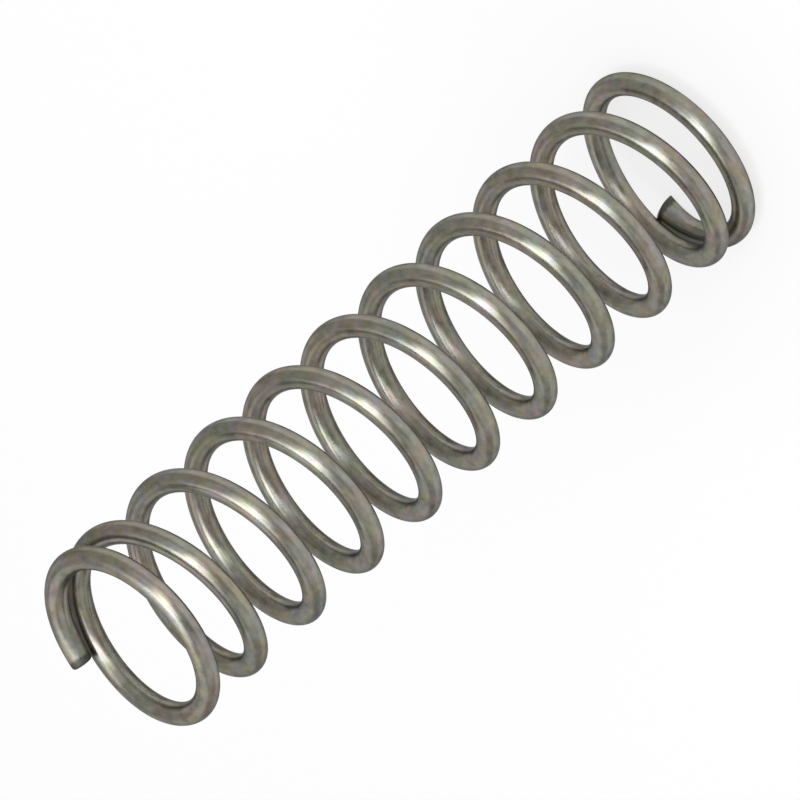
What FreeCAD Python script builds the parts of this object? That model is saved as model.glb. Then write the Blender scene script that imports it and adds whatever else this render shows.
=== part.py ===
import FreeCAD, Part
import math
import os

# A small compression spring, in millimetres: one length of round steel wire, coiled
# right-handed at an even pitch, with a closed turn at each end. Both tips are cut square
# across the wire and left unground. The coil's axis is +Z, and the spring stands on Z = 0.

# Driving dimensions
WIRE_DIAMETER = 1.0
OUTSIDE_DIAMETER = 9.0
FREE_LENGTH = 36.0
TOTAL_TURNS = 10.93
TIP_GAP = 0.07  # height that a closed turn gains beyond the wire that it lies against
CLOSED_ANGLE = 250.0  # degrees from a tip to where its turn lies level on the seat
BOTTOM_CUT_ANGLE = 108.5  # degrees from +X round to the cut at the bottom
ARC_PAIRS_PER_TURN = 6  # pairs of short arcs that the wire's centre line is laid out in

# Sizes that follow from them
wire_radius = WIRE_DIAMETER / 2
coil_radius = (OUTSIDE_DIAMETER - WIRE_DIAMETER) / 2
total_angle = 360 * TOTAL_TURNS
closed_rise = WIRE_DIAMETER + TIP_GAP
opening_angle = 360 - CLOSED_ANGLE
pitch = (FREE_LENGTH - WIRE_DIAMETER - 2 * closed_rise) / (TOTAL_TURNS - 2)
tip_slope = (360 * closed_rise / pitch - opening_angle / 2) / (CLOSED_ANGLE / 2)


def rise_from_tip(angle):
    """Height that the centre line has gained this many degrees from a tip, and its slope.

    The wire leaves the tip at tip_slope of the full pitch and eases to level at
    CLOSED_ANGLE. It then opens out, to reach the full pitch one turn from the tip, where
    the tip lies against it. The slope is the rise in a whole turn.
    """
    if angle < CLOSED_ANGLE:
        phase = math.pi * angle / CLOSED_ANGLE
        slope = pitch * tip_slope * (1 + math.cos(phase)) / 2
        rise = pitch * tip_slope * CLOSED_ANGLE * (phase + math.sin(phase)) / math.pi / 720
    elif angle < 360:
        phase = math.pi * (360 - angle) / opening_angle
        slope = pitch * (1 + math.cos(phase)) / 2
        rise = closed_rise - pitch * opening_angle * (phase + math.sin(phase)) / math.pi / 720
    else:
        slope = pitch
        rise = closed_rise + pitch * (angle - 360) / 360
    return rise, slope


def on_centre_line(angle):
    """The wire's centre this many degrees along the coil from the bottom tip, and its heading."""
    if angle < total_angle / 2:
        rise, slope = rise_from_tip(angle)
        height = wire_radius + rise
    else:
        rise, slope = rise_from_tip(total_angle - angle)
        height = FREE_LENGTH - wire_radius - rise
    turned = math.radians(BOTTOM_CUT_ANGLE + angle)
    x, y = coil_radius * math.cos(turned), coil_radius * math.sin(turned)
    point = FreeCAD.Vector(x, y, height)
    heading = FreeCAD.Vector(-y, x, slope / (2 * math.pi)).normalize()
    return point, heading


def arc(start, corner, end):
    """The arc from start to end whose two tangents meet at the corner."""
    flatness = (end - start).Length / (corner - start).Length / 2
    middle = ((start + end) / 2 + corner * flatness) / (1 + flatness)
    return Part.Arc(start, middle, end).toShape()


def arc_pair(start, start_heading, end, end_heading):
    """Two arcs that join end to end and meet both headings, so that the line has no kink."""
    chord = end - start
    spread = 2 * (1 - start_heading.dot(end_heading))
    lean = chord.dot(start_heading + end_heading)
    reach = (math.sqrt(lean**2 + spread * chord.dot(chord)) - lean) / spread
    first_corner = start + start_heading * reach
    second_corner = end - end_heading * reach
    joint = (first_corner + second_corner) / 2
    return [arc(start, first_corner, joint), arc(joint, second_corner, end)]


def centre_line():
    """The coil's line from tip to tip."""
    count = math.ceil(TOTAL_TURNS * ARC_PAIRS_PER_TURN)
    stops = [on_centre_line(total_angle * step / count) for step in range(count + 1)]
    arcs = []
    for start, end in zip(stops, stops[1:]):
        arcs += arc_pair(*start, *end)
    return Part.Wire(arcs)


def coiled_wire():
    """The drawn wire's round section, swept from the bottom tip to the top one."""
    line = centre_line()
    circle = Part.makeCircle(wire_radius, *on_centre_line(0))
    coil = line.makePipe(Part.Face(Part.Wire([circle])))
    expected = math.pi * wire_radius**2 * line.Length
    print(f"pitch {pitch:.3f}, wire length {line.Length:.2f}")
    print(f"volume {coil.Volume:.3f}, section times length {expected:.3f}")
    return coil


os.makedirs("parts", exist_ok=True)
coiled_wire().exportStep("parts/coiled_wire.step")
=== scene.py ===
import math

import bmesh
import bpy
from mathutils import Matrix, Vector


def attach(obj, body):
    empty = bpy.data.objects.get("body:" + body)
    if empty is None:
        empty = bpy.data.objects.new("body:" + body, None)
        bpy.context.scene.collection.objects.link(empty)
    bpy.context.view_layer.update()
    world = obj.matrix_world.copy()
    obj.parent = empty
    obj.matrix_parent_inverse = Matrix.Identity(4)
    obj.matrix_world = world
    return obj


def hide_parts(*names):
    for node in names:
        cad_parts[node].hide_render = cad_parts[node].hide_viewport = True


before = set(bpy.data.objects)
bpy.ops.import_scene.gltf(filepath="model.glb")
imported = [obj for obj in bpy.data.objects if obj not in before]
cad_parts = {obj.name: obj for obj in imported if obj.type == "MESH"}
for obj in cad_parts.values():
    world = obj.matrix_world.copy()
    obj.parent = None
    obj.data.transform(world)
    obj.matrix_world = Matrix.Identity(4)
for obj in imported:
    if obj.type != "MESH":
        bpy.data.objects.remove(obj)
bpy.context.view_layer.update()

scene = bpy.context.scene
scene.view_settings.view_transform = "Standard"


# Camera
# Far off and long in the lens, so the turns hardly shrink with distance. It looks down on
# the coil at about 30 degrees and is rolled over, so that the coil lies across the frame
# from corner to corner with its top end nearest.
look_down = math.radians(29.661)
roll = math.radians(-131.555)
camera_distance = 0.92536
film_width, focal_length = 36, 1004.8
coil_middle = Vector((0, 0, 0.018))
aim_across, aim_upwards = -0.0001475, -0.000137

camera_turn = Matrix.Rotation(math.pi / 2 - look_down, 4, "X") @ Matrix.Rotation(roll, 4, "Z")
across, upwards, backwards = (camera_turn.to_3x3() @ axis for axis in Matrix.Identity(3))
aim = coil_middle + aim_across * across + aim_upwards * upwards
lens = bpy.data.cameras.new("camera")
lens.sensor_width = film_width
lens.lens = focal_length
lens.clip_start = 0.01
camera = bpy.data.objects.new("camera", lens)
camera.matrix_world = Matrix.Translation(aim + camera_distance * backwards) @ camera_turn
scene.collection.objects.link(camera)
scene.camera = camera


# Coiled wire
# One length of hard-drawn 1 mm spring steel, coiled right-handed with a closed turn at each
# end and cut off square. The coil is made by Geometry Nodes from the sizes of the spring,
# and each point keeps its place on the straight wire, which the finish is laid along.
def math_nodes(tree):
    """Gives back a call that adds a Math node to the tree; its values are numbers or sockets."""

    def add(operation, *values):
        node = tree.nodes.new("ShaderNodeMath")
        node.operation = operation
        for socket, value in zip(node.inputs, values):
            if isinstance(value, bpy.types.NodeSocket):
                tree.links.new(value, socket)
            else:
                socket.default_value = value
        return node.outputs[0]

    return add


def clamped(calc, value):
    """The value, held between 0 and 1."""
    return calc("MINIMUM", calc("MAXIMUM", value, 0), 1)


def vector_node(tree, operation, *values, result="Vector"):
    """Adds a Vector Math node; its values are vectors, numbers or sockets."""
    node = tree.nodes.new("ShaderNodeVectorMath")
    node.operation = operation
    sockets = [node.inputs["Scale"] if operation == "SCALE" and place else node.inputs[place]
               for place in range(len(values))]
    for socket, value in zip(sockets, values):
        if isinstance(value, bpy.types.NodeSocket):
            tree.links.new(value, socket)
        else:
            socket.default_value = value
    return node.outputs[result]


def new_group(name, kind, inputs, outputs):
    """An empty node tree with its named sockets; gives the tree, its inputs and its output node."""
    tree = bpy.data.node_groups.new(name, kind)
    for socket_name, socket_kind in inputs:
        tree.interface.new_socket(socket_name, in_out="INPUT", socket_type=socket_kind)
    for socket_name, socket_kind in outputs:
        tree.interface.new_socket(socket_name, in_out="OUTPUT", socket_type=socket_kind)
    given = tree.nodes.new("NodeGroupInput").outputs
    return tree, given, tree.nodes.new("NodeGroupOutput")


def rise_from_tip_group():
    """Height gained from a tip: an easing closed turn, then opening out to the even pitch."""
    names = ("Angle", "Closed Angle", "Tip Slope", "Pitch")
    tree, given, result = new_group(
        "rise from tip", "GeometryNodeTree",
        [(name, "NodeSocketFloat") for name in names], [("Rise", "NodeSocketFloat")],
    )
    calc = math_nodes(tree)
    angle, closed_angle = given["Angle"], given["Closed Angle"]
    opening_angle = calc("SUBTRACT", 360, closed_angle)

    def eased(gone, span, sign):
        """Degrees' worth of full climb while the slope eases off to none, or with sign -1 back to full."""
        wave = calc("SINE", calc("MULTIPLY", math.pi, calc("DIVIDE", gone, span)))
        wave = calc("MULTIPLY", wave, calc("DIVIDE", span, sign * math.pi))
        return calc("DIVIDE", calc("ADD", gone, wave), 2)

    closing = calc("MINIMUM", angle, closed_angle)
    opening = calc("MAXIMUM", calc("SUBTRACT", angle, closed_angle), 0)
    opening = calc("MINIMUM", opening, opening_angle)
    free = calc("MAXIMUM", calc("SUBTRACT", angle, 360), 0)
    climbed = calc("MULTIPLY", given["Tip Slope"], eased(closing, closed_angle, 1))
    climbed = calc("ADD", climbed, eased(opening, opening_angle, -1))
    climbed = calc("ADD", climbed, free)
    rise = calc("DIVIDE", calc("MULTIPLY", climbed, given["Pitch"]), 360)
    tree.links.new(rise, result.inputs["Rise"])
    return tree


def coiled_wire_tree():
    """The coil: rings round the wire's centre line, with the two cut faces as shrinking rings."""
    sizes = (
        "Wire Diameter", "Outside Diameter", "Free Length", "Total Turns", "Tip Gap",
        "Closed Angle", "Bottom Cut Angle", "Bottom Edge", "Top Edge", "Cut Dome", "Tip Nudge",
        "Nudge Length", "Burr", "Burr Length", "Roll", "Roll Length", "Press", "Press Length",
        "Groove Length",
    )
    inputs = [(name, "NodeSocketFloat") for name in sizes]
    inputs += [(name, "NodeSocketInt") for name in ("Steps Per Turn", "Sides", "Edge Rings", "Face Rings")]
    inputs += [(name, "NodeSocketMaterial") for name in ("Drawn Finish", "Cut Finish")]
    tree, given, result = new_group(
        "coiled wire", "GeometryNodeTree", inputs, [("Geometry", "NodeSocketGeometry")]
    )
    nodes, links = tree.nodes, tree.links
    calc = math_nodes(tree)

    wire, outside, length = given["Wire Diameter"], given["Outside Diameter"], given["Free Length"]
    turns, closed_angle = given["Total Turns"], given["Closed Angle"]
    wire_radius = calc("DIVIDE", wire, 2)
    coil_radius = calc("DIVIDE", calc("SUBTRACT", outside, wire), 2)
    total_angle = calc("MULTIPLY", turns, 360)
    closed_rise = calc("ADD", wire, given["Tip Gap"])
    opening_angle = calc("SUBTRACT", 360, closed_angle)
    between_seats = calc("SUBTRACT", length, calc("ADD", wire, calc("MULTIPLY", closed_rise, 2)))
    pitch = calc("DIVIDE", between_seats, calc("SUBTRACT", turns, 2))
    tip_slope = calc("MULTIPLY", 360, calc("DIVIDE", closed_rise, pitch))
    tip_slope = calc("SUBTRACT", tip_slope, calc("DIVIDE", opening_angle, 2))
    tip_slope = calc("DIVIDE", tip_slope, calc("DIVIDE", closed_angle, 2))

    # rings counted from the nearer tip: the cut face, its rounded edge, then the round wire; the
    # innermost ring is a small one, and the caps fill it
    innermost_ring = 0.6
    face_rings, edge_rings = given["Face Rings"], given["Edge Rings"]
    tip_rings = calc("ADD", face_rings, edge_rings)
    body_steps = calc("ROUND", calc("MULTIPLY", turns, given["Steps Per Turn"]))
    last = calc("ADD", body_steps, calc("MULTIPLY", tip_rings, 2))
    index = nodes.new("GeometryNodeInputIndex").outputs[0]
    from_top = calc("SUBTRACT", last, index)
    nearer = calc("MINIMUM", index, from_top)
    bottom_edge, top_edge, dome = given["Bottom Edge"], given["Top Edge"], given["Cut Dome"]

    def edge_of(top):
        """Size of a tip's rounded edge; top is 0 for the bottom tip and 1 for the top one."""
        return calc("ADD", bottom_edge, calc("MULTIPLY", top, calc("SUBTRACT", top_edge, bottom_edge)))

    def share_of_face(rings):
        """Size of a ring on the cut face, as a share of the flat of the face."""
        share = calc("DIVIDE", calc("ADD", rings, innermost_ring), calc("ADD", face_rings, innermost_ring))
        return calc("MINIMUM", share, 1)

    def in_from_tip(rings, edge):
        """How far a ring stands in from the very end of the wire, and how far round its edge."""
        share = share_of_face(rings)
        quarter = calc("DIVIDE", calc("SUBTRACT", rings, face_rings), edge_rings)
        quarter = calc("MULTIPLY", clamped(calc, quarter), math.pi / 2)
        domed = calc("MULTIPLY", dome, calc("MULTIPLY", share, share))
        rounded = calc("MULTIPLY", edge, calc("SUBTRACT", 1, calc("COSINE", quarter)))
        return calc("ADD", domed, rounded), quarter

    wire_per_degree = calc("MULTIPLY", coil_radius, math.pi / 180)
    bottom_in, bottom_quarter = in_from_tip(index, bottom_edge)
    top_in, top_quarter = in_from_tip(from_top, top_edge)
    bottom_depth, top_depth = calc("ADD", dome, bottom_edge), calc("ADD", dome, top_edge)
    body_share = clamped(calc, calc("DIVIDE", calc("SUBTRACT", index, tip_rings), body_steps))
    total_along = calc("MULTIPLY", total_angle, wire_per_degree)
    body_along = calc("SUBTRACT", total_along, calc("ADD", bottom_depth, top_depth))
    along = calc("ADD", bottom_in, calc("MULTIPLY", body_share, body_along))
    along = calc("ADD", along, calc("SUBTRACT", top_depth, top_in))
    angle = calc("DIVIDE", along, wire_per_degree)
    rounding = calc("ADD", calc("SINE", bottom_quarter), calc("SINE", top_quarter))
    edge = edge_of(calc("LESS_THAN", from_top, index))
    rounding = calc("MULTIPLY", edge, calc("SUBTRACT", rounding, 1))
    face_radius = calc("SUBTRACT", wire_radius, edge)
    ring_radius = calc("ADD", calc("MULTIPLY", face_radius, share_of_face(nearer)), rounding)

    # height of the centre line: the same law up from the bottom tip and down from the top one
    rise_group = rise_from_tip_group()

    def rise(turned):
        node = nodes.new("GeometryNodeGroup")
        node.node_tree = rise_group
        for name, value in (("Angle", turned), ("Closed Angle", closed_angle),
                            ("Tip Slope", tip_slope), ("Pitch", pitch)):
            links.new(value, node.inputs[name])
        return node.outputs["Rise"]

    upper_half = calc("GREATER_THAN", angle, calc("DIVIDE", total_angle, 2))
    lower_height = calc("ADD", wire_radius, rise(angle))
    lower_height = calc("MULTIPLY", lower_height, calc("SUBTRACT", 1, upper_half))
    upper_height = calc("SUBTRACT", length, wire_radius)
    upper_height = calc("SUBTRACT", upper_height, rise(calc("SUBTRACT", total_angle, angle)))
    height = calc("ADD", lower_height, calc("MULTIPLY", upper_height, upper_half))
    turned = calc("RADIANS", calc("ADD", angle, given["Bottom Cut Angle"]))
    # the knife's blow leaves the bottom tip a little inside the round of the coil
    nudged = calc("MAXIMUM", calc("SUBTRACT", 1, calc("DIVIDE", along, given["Nudge Length"])), 0)
    nudged = calc("MULTIPLY", calc("MULTIPLY", nudged, nudged), given["Tip Nudge"])
    radius_here = calc("SUBTRACT", coil_radius, nudged)
    place = nodes.new("ShaderNodeCombineXYZ")
    links.new(calc("MULTIPLY", radius_here, calc("COSINE", turned)), place.inputs["X"])
    links.new(calc("MULTIPLY", radius_here, calc("SINE", turned)), place.inputs["Y"])
    links.new(height, place.inputs["Z"])

    points = nodes.new("GeometryNodeMeshLine")
    links.new(calc("ADD", last, 1), points.inputs["Count"])
    captured = nodes.new("GeometryNodeCaptureAttribute")
    for kind, name in (("FLOAT", "along"), ("FLOAT", "ring radius"), ("VECTOR", "centre"), ("FLOAT", "end")):
        captured.capture_items.new(kind, name)
    links.new(points.outputs["Mesh"], captured.inputs["Geometry"])
    links.new(along, captured.inputs["along"])
    links.new(ring_radius, captured.inputs["ring radius"])
    links.new(place.outputs["Vector"], captured.inputs["centre"])
    links.new(calc("SUBTRACT", calc("MULTIPLY", upper_half, 2), 1), captured.inputs["end"])
    placed = nodes.new("GeometryNodeSetPosition")
    links.new(captured.outputs["Geometry"], placed.inputs["Geometry"])
    links.new(captured.outputs["centre"], placed.inputs["Position"])
    line = nodes.new("GeometryNodeMeshToCurve")
    links.new(placed.outputs["Geometry"], line.inputs["Mesh"])
    upright = nodes.new("GeometryNodeSetCurveNormal")
    upright.mode = "Z_UP"
    links.new(line.outputs["Curve"], upright.inputs["Curve"])
    heading = nodes.new("GeometryNodeCaptureAttribute")
    heading.capture_items.new("VECTOR", "heading")
    links.new(upright.outputs["Curve"], heading.inputs["Geometry"])
    links.new(nodes.new("GeometryNodeInputTangent").outputs[0], heading.inputs["heading"])
    section = nodes.new("GeometryNodeCurvePrimitiveCircle")
    section.inputs["Radius"].default_value = 1
    links.new(given["Sides"], section.inputs["Resolution"])
    swept = nodes.new("GeometryNodeCurveToMesh")
    swept.inputs["Fill Caps"].default_value = True
    links.new(heading.outputs["Geometry"], swept.inputs["Curve"])
    links.new(section.outputs["Curve"], swept.inputs["Profile Curve"])
    links.new(captured.outputs["ring radius"], swept.inputs["Scale"])

    # place on the straight wire: out from the coil's axis, across, and along
    centre, ahead = captured.outputs["centre"], heading.outputs["heading"]
    outward = vector_node(tree, "NORMALIZE", vector_node(tree, "MULTIPLY", centre, (1, 1, 0)))
    sideways = vector_node(tree, "CROSS_PRODUCT", ahead, outward)
    position = nodes.new("GeometryNodeInputPosition").outputs[0]
    from_centre = vector_node(tree, "SUBTRACT", position, centre)
    out = vector_node(tree, "DOT_PRODUCT", from_centre, outward, result="Value")
    side = vector_node(tree, "DOT_PRODUCT", from_centre, sideways, result="Value")
    straight = nodes.new("ShaderNodeCombineXYZ")
    links.new(out, straight.inputs["X"])
    links.new(side, straight.inputs["Y"])
    links.new(captured.outputs["along"], straight.inputs["Z"])
    from_top_tip = calc("SUBTRACT", total_along, captured.outputs["along"])
    from_end = calc("MINIMUM", captured.outputs["along"], from_top_tip)

    # painted shade darkens the groove between each tip and the turn it lies against: on the lower wire of
    # the two, which is the bottom tip itself and the turn under the top tip, and there on its top
    # and round to its outside
    groove_turn, groove_edge, groove_sharpness = math.radians(30), 0.75, 6
    top = calc("DIVIDE", calc("ADD", captured.outputs["end"], 1), 2)
    bottom = calc("SUBTRACT", 1, top)
    past_turn = calc("SUBTRACT", from_end, calc("MULTIPLY", wire_per_degree, 360))

    def beside(distance):
        """Full beside the tip and for half the groove's length, then fading to its end."""
        fading = calc("SUBTRACT", 1, calc("DIVIDE", distance, given["Groove Length"]))
        begun = calc("ADD", calc("DIVIDE", distance, wire_radius), 1)
        return calc("MAXIMUM", calc("MINIMUM", calc("MULTIPLY", fading, 2), calc("MINIMUM", begun, 1)), 0)

    shaded_bottom = calc("MULTIPLY", beside(from_end), bottom)
    shaded_top = calc("MULTIPLY", beside(past_turn), top)
    groove_shade_mask = calc("SUBTRACT", calc("MULTIPLY", out, math.sin(groove_turn)),
                  calc("MULTIPLY", side, math.cos(groove_turn)))
    groove_shade_mask = calc("SUBTRACT", calc("DIVIDE", groove_shade_mask, wire_radius), groove_edge)
    groove_shade_mask = clamped(calc, calc("MULTIPLY", groove_shade_mask, groove_sharpness))
    groove_shade_mask = calc("MULTIPLY", groove_shade_mask, calc("ADD", shaded_bottom, shaded_top))

    def stored(geometry, kind, name, value):
        node = nodes.new("GeometryNodeStoreNamedAttribute")
        node.data_type = kind
        node.inputs["Name"].default_value = name
        links.new(geometry, node.inputs["Geometry"])
        links.new(value, node.inputs["Value"])
        return node.outputs["Geometry"]

    marked = stored(swept.outputs["Mesh"], "FLOAT_VECTOR", "straight_wire", straight.outputs["Vector"])
    marked = stored(marked, "FLOAT", "from_cut", from_end)
    marked = stored(marked, "FLOAT", "groove_shade_mask", groove_shade_mask)

    # one cut parts two coils: on the tip that stays on the mandrel, the bottom one, it rolls the
    # high side over and draws out a burr low in the bore, and on the tip that it carries off it
    # presses the low bore side in; the burr stays within the wire's own depth, and what is drawn out
    # or pressed in goes half as far along the wire as well
    burr_fade, roll_fade, press_fade = 1.3, 1.5, 1.5
    burr_floor, along_share = 0.94, 0.5

    def pushed(shape, fade, tip):
        """How far the knife pushes the skin of one tip, fading over the length of that shape."""
        near = calc("SUBTRACT", 1, calc("DIVIDE", from_end, given[shape + " Length"]))
        near = calc("POWER", calc("MAXIMUM", near, 0), fade)
        return calc("MULTIPLY", calc("MULTIPLY", near, tip), given[shape])

    low_bore = calc("DIVIDE", calc("SUBTRACT", side, out), calc("MULTIPLY", wire_radius, math.sqrt(2)))
    low_bore = calc("MAXIMUM", low_bore, 0)
    pulled = calc("MULTIPLY", pushed("Burr", burr_fade, bottom), calc("POWER", low_bore, 3))
    room_below = calc("SUBTRACT", calc("MULTIPLY", wire_radius, burr_floor), side)
    down = calc("MINIMUM", pulled, calc("MAXIMUM", room_below, 0))
    high = calc("MAXIMUM", calc("DIVIDE", side, calc("MULTIPLY", wire_radius, -1)), 0)
    rolled = calc("MULTIPLY", pushed("Roll", roll_fade, bottom), calc("MULTIPLY", high, high))
    pressed = calc("MULTIPLY", pushed("Press", press_fade, top), calc("MULTIPLY", low_bore, low_bore))
    outwards = calc("SUBTRACT", pressed, pulled)
    down = calc("SUBTRACT", down, pressed)
    back = calc("SUBTRACT", rolled, calc("MULTIPLY", calc("ADD", pressed, pulled), along_share))
    moved = vector_node(tree, "SCALE", sideways, down)
    moved = vector_node(tree, "ADD", moved, vector_node(tree, "SCALE", outward, outwards))
    moved = vector_node(tree, "ADD", moved, vector_node(tree, "SCALE", ahead, back))
    sheared = nodes.new("GeometryNodeSetPosition")
    links.new(marked, sheared.inputs["Geometry"])
    links.new(moved, sheared.inputs["Offset"])

    whole = nodes.new("GeometryNodeRealizeInstances")
    links.new(sheared.outputs["Geometry"], whole.inputs["Geometry"])
    smooth = nodes.new("GeometryNodeSetShadeSmooth")
    links.new(whole.outputs["Geometry"], smooth.inputs["Geometry"])
    # the cut finish starts a little way round the rounded edge
    cut_finish_edge = 0.3
    drawn = nodes.new("GeometryNodeSetMaterial")
    links.new(smooth.outputs["Geometry"], drawn.inputs["Geometry"])
    links.new(given["Drawn Finish"], drawn.inputs["Material"])
    ends = nodes.new("GeometryNodeSetMaterial")
    links.new(drawn.outputs["Geometry"], ends.inputs["Geometry"])
    on_face = calc("LESS_THAN", from_end, calc("ADD", dome, calc("MULTIPLY", edge_of(top), cut_finish_edge)))
    links.new(on_face, ends.inputs["Selection"])
    links.new(given["Cut Finish"], ends.inputs["Material"])
    links.new(ends.outputs["Geometry"], result.inputs["Geometry"])
    return tree


def new_material(name):
    """A material with its node tree and its shader."""
    material = bpy.data.materials.new(name)
    material.use_nodes = True
    return material, material.node_tree, material.node_tree.nodes["Principled BSDF"]


def attribute_node(tree, name):
    node = tree.nodes.new("ShaderNodeAttribute")
    node.attribute_name = name
    return node


def noise_node(tree, coordinates, scale, detail, roughness):
    node = tree.nodes.new("ShaderNodeTexNoise")
    node.inputs["Scale"].default_value = scale
    node.inputs["Detail"].default_value = detail
    node.inputs["Roughness"].default_value = roughness
    tree.links.new(coordinates, node.inputs["Vector"])
    return node.outputs["Fac"]


def bump_node(tree, shader, height, strength, distance):
    node = tree.nodes.new("ShaderNodeBump")
    node.inputs["Strength"].default_value = strength
    node.inputs["Distance"].default_value = distance
    tree.links.new(height, node.inputs["Height"])
    tree.links.new(node.outputs["Normal"], shader.inputs["Normal"])


def ramp_node(tree, value, stops):
    node = tree.nodes.new("ShaderNodeValToRGB")
    elements = node.color_ramp.elements
    while len(elements) < len(stops):
        elements.new(0.5)
    for element, (position, colour) in zip(elements, stops):
        element.position = position
        element.color = (*colour, 1)
    tree.links.new(value, node.inputs["Fac"])
    return node.outputs["Color"]


def drawn_steel():
    """Drawn wire: a thin grey film in warm and greenish patches, fine lines, and darker, rougher ends."""
    material, tree, shader = new_material("drawn_steel")
    calc = math_nodes(tree)
    place = attribute_node(tree, "straight_wire")
    millimetres = vector_node(tree, "SCALE", place.outputs["Vector"], 1000)

    def blotches(fineness, along_share, detail, roughness, shift=(0, 0, 0)):
        """Noise on the straight wire, so fine to the millimetre across it, and a share of that along it."""
        stretched = vector_node(tree, "MULTIPLY", millimetres, (1, 1, along_share))
        return noise_node(tree, vector_node(tree, "ADD", stretched, shift), fineness, detail, roughness)

    warmth = blotches(1.5, 0.7, detail=5, roughness=0.62, shift=(7, 3, 5))
    patches = blotches(1.3, 0.7, detail=5, roughness=0.62)
    tone = blotches(3.2, 0.6, detail=4, roughness=0.6)
    lines = blotches(22, 0.02, detail=3, roughness=0.6)

    def sum_of(base, *weighed):
        """A base, and so much of each mask on top of it."""
        total = calc("MULTIPLY", *weighed[0])
        for mask, weight in weighed[1:]:
            total = calc("ADD", total, calc("MULTIPLY", mask, weight))
        return calc("ADD", total, base)

    def darkened(colour, mask, share):
        return vector_node(tree, "SCALE", colour, calc("SUBTRACT", 1, calc("MULTIPLY", mask, share)))

    # the noise keeps mostly between these two, so the colours blend from one to the other there
    low, high = 0.37, 0.63
    straw_film, grey_film = (0.302, 0.286, 0.207), (0.297, 0.285, 0.277)
    green_blush, rosy_blush = (0.918, 1.017, 0.989), (1.085, 0.976, 1.005)
    film = ramp_node(tree, warmth, [(low, straw_film), (high, grey_film)])
    blush = ramp_node(tree, patches, [(low, green_blush), (high, rosy_blush)])
    film = vector_node(tree, "MULTIPLY", film, blush)
    colour = vector_node(tree, "SCALE", film, sum_of(0.32, (tone, 1.15), (lines, 0.2)))

    # the last half millimetre by each cut is darker and rougher, the knife's grip scuffs the last few
    # millimetres rougher, and painted shade darkens the groove beside each tip
    end_band_length, end_band_wander, end_band_sharpness = 0.48, 0.3, 6
    scuff_length = 2.5
    from_cut = attribute_node(tree, "from_cut").outputs["Fac"]
    # the colour is darker and rougher over the last half millimetre by each cut, its edge wandering with the
    # tone
    end_band = calc("ADD", calc("MULTIPLY", from_cut, 1000), calc("MULTIPLY", tone, end_band_wander))
    end_band = calc("MULTIPLY", calc("SUBTRACT", end_band, end_band_length), end_band_sharpness)
    end_band = clamped(calc, calc("SUBTRACT", 1, end_band))
    scuffed = calc("SUBTRACT", 1, calc("MULTIPLY", from_cut, 1000 / scuff_length))
    scuffed = calc("MAXIMUM", scuffed, 0)
    # painted shade: the groove mask darkens the colour beside each tip and roughens it
    groove_shade = calc("MULTIPLY", attribute_node(tree, "groove_shade_mask").outputs["Fac"], sum_of(0.6, (tone, 0.4)))
    colour = darkened(darkened(colour, end_band, 0.6), groove_shade, 0.62)
    rough = sum_of(0.17, (tone, 0.16), (lines, 0.1), (end_band, 0.2), (scuffed, 0.14), (groove_shade, 0.15))
    tree.links.new(colour, shader.inputs["Base Color"])
    tree.links.new(rough, shader.inputs["Roughness"])
    shader.inputs["Metallic"].default_value = 1
    shader.inputs["Specular Tint"].default_value = (0.32, 0.33, 0.36, 1)
    relief = calc("ADD", lines, calc("MULTIPLY", tone, 0.6))
    bump_node(tree, shader, relief, strength=0.25, distance=0.000004)
    return material


def sheared_steel():
    """The cut ends: a burnished band where the knife went in, then torn, matt steel."""
    material, tree, shader = new_material("sheared_steel")
    calc = math_nodes(tree)
    place = attribute_node(tree, "straight_wire")
    millimetres = vector_node(tree, "SCALE", place.outputs["Vector"], 1000)
    split = tree.nodes.new("ShaderNodeSeparateXYZ")
    tree.links.new(millimetres, split.inputs["Vector"])
    grain = noise_node(tree, millimetres, scale=16, detail=4, roughness=0.65)

    # the band is the half of the face away from the bore, and a torn line parts it from the rest
    tear_place, tear_wander, tear_sharpness, tear_softness = -0.02, 0.35, 8, 0.2
    torn_colour, burnished_colour = (0.150, 0.152, 0.140), (0.290, 0.280, 0.250)
    torn_roughness, burnished_roughness = 0.55, 0.28
    out = calc("ADD", split.outputs["X"], calc("MULTIPLY", calc("SUBTRACT", grain, 0.5), tear_wander))
    burnished = calc("MULTIPLY", calc("SUBTRACT", out, tear_place), tear_sharpness)
    burnished = calc("SMOOTH_MAX", calc("MINIMUM", burnished, 1), 0, tear_softness)
    colour = ramp_node(tree, burnished, [(0, torn_colour), (1, burnished_colour)])
    tree.links.new(colour, shader.inputs["Base Color"])
    smoother = calc("MULTIPLY", burnished, torn_roughness - burnished_roughness)
    tree.links.new(calc("SUBTRACT", torn_roughness, smoother), shader.inputs["Roughness"])
    shader.inputs["Metallic"].default_value = 1
    relief = calc("MULTIPLY", grain, calc("SUBTRACT", 1.1, burnished))
    bump_node(tree, shader, relief, strength=0.5, distance=0.000015)
    return material


def modifier_inputs(modifier, values):
    """Sets a Geometry Nodes modifier's inputs by the names in its tree."""
    for item in modifier.node_group.interface.items_tree:
        if item.item_type == "SOCKET" and item.in_out == "INPUT":
            modifier[item.identifier] = values[item.name]


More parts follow.
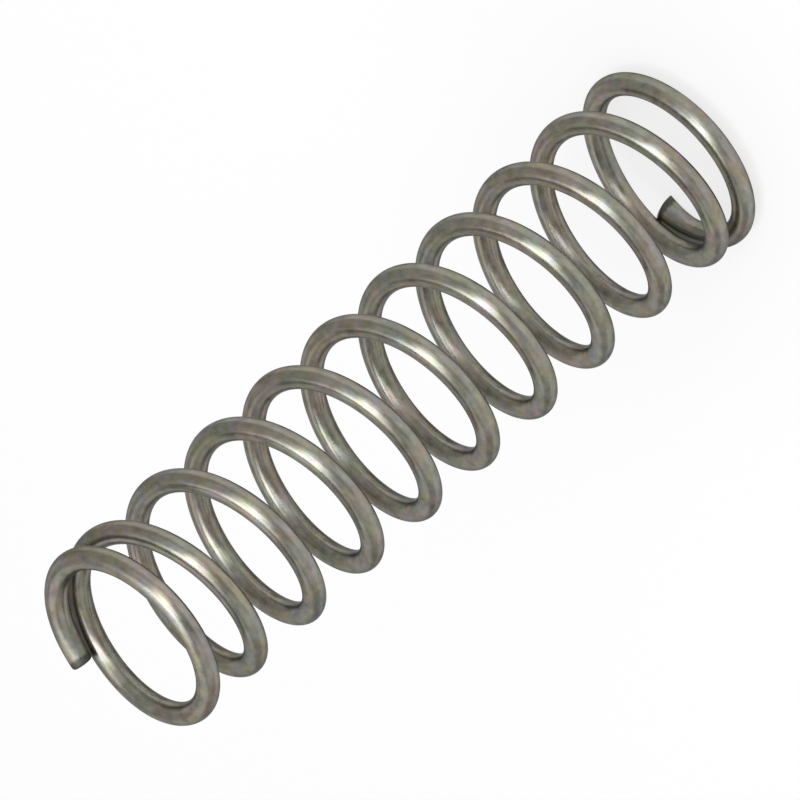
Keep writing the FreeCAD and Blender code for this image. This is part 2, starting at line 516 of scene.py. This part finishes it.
# metres, degrees and counts; the outside is a thousandth of a millimetre under the spring's own,
# which keeps every corner of the mesh inside its round
coil_sizes = {
    "Wire Diameter": 0.001,
    "Outside Diameter": 0.008999,
    "Free Length": 0.036,
    "Total Turns": 10.93,
    "Tip Gap": 0.00007,
    "Closed Angle": 250.0,
    "Bottom Cut Angle": 108.5,
    "Bottom Edge": 0.00004,
    "Top Edge": 0.00014,
    "Cut Dome": 0.00002,
    "Tip Nudge": 0.00012,
    "Nudge Length": 0.0019,
    "Burr": 0.00013,
    "Burr Length": 0.0018,
    "Roll": 0.00024,
    "Roll Length": 0.0007,
    "Press": 0.00005,
    "Press Length": 0.001,
    "Groove Length": 0.007,
    "Steps Per Turn": 160,
    "Sides": 36,
    "Edge Rings": 6,
    "Face Rings": 5,
    "Drawn Finish": drawn_steel(),
    "Cut Finish": sheared_steel(),
}
maker = bpy.data.objects.new("coil_maker", bpy.data.meshes.new("coil_maker"))
scene.collection.objects.link(maker)
coiling = maker.modifiers.new("coiling", "NODES")
coiling.node_group = coiled_wire_tree()
modifier_inputs(coiling, coil_sizes)
wound = maker.evaluated_get(bpy.context.evaluated_depsgraph_get())
coil = bpy.data.objects.new("wire_coil", bpy.data.meshes.new_from_object(wound))
coil.data.name = "wire_coil"
bpy.data.objects.remove(maker)
scene.collection.objects.link(coil)
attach(coil, "root")
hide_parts("coiled_wire")


# Floor
# A round of plain white card, level with the foot of the coil and wide enough to fill the
# camera's view. Part of its light is its own, so it stays white and keeps a faint shadow.
def white_card():
    """Matt white card that gives most of its own light where it is seen or mirrored."""
    own_light = 0.75
    material, tree, shader = new_material("white_card")
    shader.inputs["Base Color"].default_value = (0.84, 0.84, 0.84, 1)
    shader.inputs["Roughness"].default_value = 0.9
    shader.inputs["Specular IOR Level"].default_value = 0.1
    glow = tree.nodes.new("ShaderNodeEmission")
    rays = tree.nodes.new("ShaderNodeLightPath")
    calc = math_nodes(tree)
    seen = calc("MAXIMUM", rays.outputs["Is Camera Ray"], rays.outputs["Is Glossy Ray"])
    seen = calc("MAXIMUM", seen, rays.outputs["Is Transmission Ray"])
    blend = tree.nodes.new("ShaderNodeMixShader")
    tree.links.new(calc("MULTIPLY", seen, own_light), blend.inputs["Fac"])
    tree.links.new(shader.outputs["BSDF"], blend.inputs[1])
    tree.links.new(glow.outputs["Emission"], blend.inputs[2])
    tree.links.new(blend.outputs["Shader"], tree.nodes["Material Output"].inputs["Surface"])
    return material


card = bmesh.new()
bmesh.ops.create_circle(card, cap_ends=True, segments=96, radius=0.15)
floor = bpy.data.objects.new("floor", bpy.data.meshes.new("floor"))
card.to_mesh(floor.data)
card.free()
floor.data.materials.append(white_card())
scene.collection.objects.link(floor)


# Light
# An even pale studio all round. A tall soft box stands high on the camera's side with a low
# one under it, a wide one hangs overhead, and weak ones fill in from the sides and the back.
def soft_box(name, around, up, distance, width, height, brightness, colour=(1, 1, 1)):
    """A lamp that faces the coil, so many degrees clockwise from +Y and up; brightness 1 is white."""
    lamp = bpy.data.lights.new(name, "AREA")
    lamp.shape = "RECTANGLE"
    lamp.size, lamp.size_y = width, height
    lamp.energy = brightness * math.pi * width * height
    lamp.color = colour
    turn = Matrix.Rotation(math.radians(180 - around), 4, "Z")
    turn = turn @ Matrix.Rotation(math.radians(90 - up), 4, "X")
    stand = bpy.data.objects.new(name, lamp)
    stand.matrix_world = Matrix.Translation(coil_middle) @ turn @ Matrix.Translation((0, 0, distance))
    scene.collection.objects.link(stand)


world = bpy.data.worlds.new("studio")
world.use_nodes = True
scene.world = world
world.node_tree.nodes["Background"].inputs["Color"].default_value = (1.0, 0.985, 0.94, 1)
world.node_tree.nodes["Background"].inputs["Strength"].default_value = 0.5
daylight = (0.975, 1.0, 1.05)
# degrees around and up, distance, width, height and brightness
soft_box("tall_soft_box", 178, 58, 0.35, 0.15, 0.36, 3.6, daylight)
soft_box("low_soft_box", 170, 20, 0.35, 0.12, 0.28, 1.7, daylight)
soft_box("overhead_soft_box", 190, 87, 0.35, 0.3, 0.3, 1.2, daylight)
soft_box("side_soft_box", 252, 17, 0.4, 0.44, 0.36, 0.32)
soft_box("front_soft_box", 138, 28, 0.4, 0.26, 0.3, 0.17)
soft_box("back_soft_box", 330, 50, 0.4, 0.36, 0.36, 0.5)
soft_box("low_back_soft_box", 2, 5, 0.4, 0.56, 0.26, 0.65)
